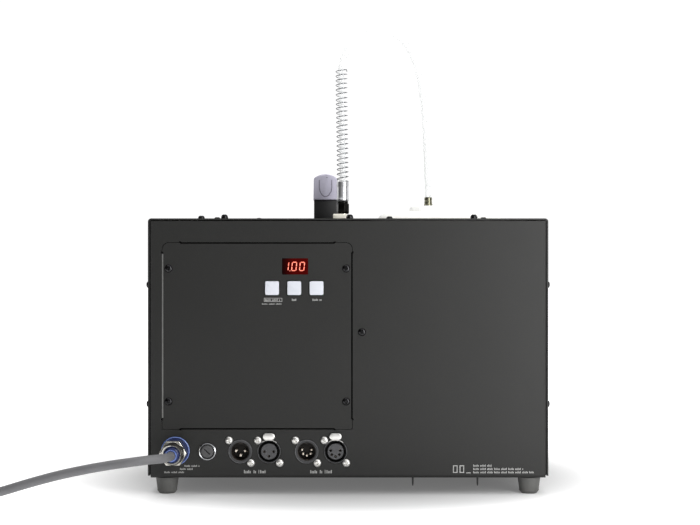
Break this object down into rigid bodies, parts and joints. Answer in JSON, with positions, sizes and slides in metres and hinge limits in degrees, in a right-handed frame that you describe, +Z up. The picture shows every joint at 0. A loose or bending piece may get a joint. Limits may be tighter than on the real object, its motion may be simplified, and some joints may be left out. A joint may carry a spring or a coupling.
{
  "type": "fog machine",
  "caption": "Boxy portable fog machine with a rear control panel, carrying handle, feed hose and lift-out fluid canister in an open well.",
  "frame": {"origin": "on the ground under the middle of the machine, with its gland and nozzle but without the mains lead", "axes": "+X to the right when facing the rear panel, +Y from the rear panel to the outlet in the front panel, +Z up"},
  "size_m": [0.648, 0.385, 0.431],
  "materials": {
    "powder_coat": "fine-textured black powder coat",
    "zinc_sheet": "zinc-plated sheet",
    "foot_rubber": "moulded rubber",
    "black_plastic": "moulded black plastic",
    "grey_plastic": "satin moulded grey plastic",
    "display_lens": "dark red polished lens",
    "key_plastic": "pale moulded key caps",
    "circuit_board": "green solder mask",
    "nickel_plate": "nickel plate",
    "chrome_plate": "bright chrome plate",
    "blue_plastic": "blue nylon",
    "ivory_plastic": "ivory nylon",
    "hose_plastic": "translucent tube",
    "canister_plastic": "natural blow-moulded polyethylene",
    "cast_aluminium": "cast",
    "nozzle_steel": "turned",
    "core_iron": "laminated iron",
    "cord_jacket": "grey jacket"
  },
  "bodies": {
    "housing": {"chassis": "powder_coat", "service_frame": "powder_coat", "service_panel": "powder_coat", "cover": "powder_coat", "front_panel": "powder_coat", "divider_wall": "zinc_sheet", "well_wall": "zinc_sheet", "foot_rear_left": "foot_rubber", "foot_rear_right": "foot_rubber", "foot_front_left": "foot_rubber", "foot_front_right": "foot_rubber", "handle": "black_plastic", "handle_cap_rear": "grey_plastic", "handle_cap_front": "grey_plastic", "display": "display_lens", "control_board": "circuit_board", "signal_in_3": "black_plastic", "signal_out_3": "black_plastic", "signal_in_5": "black_plastic", "signal_out_5": "black_plastic", "fuse_holder": "nickel_plate", "gland_body": "nickel_plate", "gland_washer": "blue_plastic", "gland_locknut": "nickel_plate", "gland_nut": "nickel_plate", "gland_seal": "blue_plastic", "fitting_block": "ivory_plastic", "fitting_nut": "chrome_plate", "heater_block": "cast_aluminium", "heater_shield": "zinc_sheet", "thermostat": "cast_aluminium", "nozzle": "nozzle_steel", "pump_body": "black_plastic", "fan_frame": "black_plastic", "power_board": "circuit_board", "transformer": "core_iron", "feed_hose": "hose_plastic", "delivery_hose": "hose_plastic", "cord": "cord_jacket", "cord_coil": "cord_jacket", "cord_tail": "cord_jacket", "plug": "black_plastic"},
    "canister": {"canister": "canister_plastic", "pickup_tube": "hose_plastic", "pickup_filter": "nickel_plate", "hose": "hose_plastic", "hose_guard": "chrome_plate", "hose_sleeve": "chrome_plate", "hose_ferrule": "nickel_plate"},
    "cap": {"canister_cap": "canister_plastic"},
    "key_left": {"key_1": "key_plastic"},
    "key_middle": {"key_2": "key_plastic"},
    "key_right": {"key_3": "key_plastic"},
    "latch_3": {"signal_out_3_latch": "nickel_plate"},
    "latch_5": {"signal_out_5_latch": "nickel_plate"},
    "fuse": {"fuse_cap": "black_plastic"},
    "plunger": {"pump_plunger": "core_iron"},
    "rotor": {"fan_rotor": "black_plastic"}
  },
  "joints": [
    {"name": "canister_lift", "type": "slide", "parent": "housing", "child": "canister", "axis": [0, 0, 1], "range_m": [0, 0.25]},
    {"name": "cap_turn", "type": "hinge", "parent": "canister", "child": "cap", "pos_m": [0.081, -0.012, 0.254], "axis": [0, 0, 1], "range_deg": [0, 360]},
    {"name": "key_left_press", "type": "slide", "parent": "housing", "child": "key_left", "axis": [0, 1, 0], "range_m": [0, 0.0006], "stiffness_N_per_m": 900},
    {"name": "key_middle_press", "type": "slide", "parent": "housing", "child": "key_middle", "axis": [0, 1, 0], "range_m": [0, 0.0006], "stiffness_N_per_m": 900},
    {"name": "key_right_press", "type": "slide", "parent": "housing", "child": "key_right", "axis": [0, 1, 0], "range_m": [0, 0.0006], "stiffness_N_per_m": 900},
    {"name": "latch_3_press", "type": "slide", "parent": "housing", "child": "latch_3", "axis": [0, 1, 0], "range_m": [0, 0.0014], "stiffness_N_per_m": 1200},
    {"name": "latch_5_press", "type": "slide", "parent": "housing", "child": "latch_5", "axis": [0, 1, 0], "range_m": [0, 0.0014], "stiffness_N_per_m": 1200},
    {"name": "fuse_turn", "type": "hinge", "parent": "housing", "child": "fuse", "pos_m": [-0.1264, -0.132, 0.039], "axis": [0, 1, 0], "range_deg": [0, 90]},
    {"name": "plunger_stroke", "type": "slide", "parent": "housing", "child": "plunger", "axis": [1, 0, 0], "range_m": [0, 0.004], "stiffness_N_per_m": 500},
    {"name": "rotor_spin", "type": "hinge", "parent": "housing", "child": "rotor", "pos_m": [0.09, 0.145, 0.11], "axis": [0, 1, 0], "continuous": true}
  ]
}
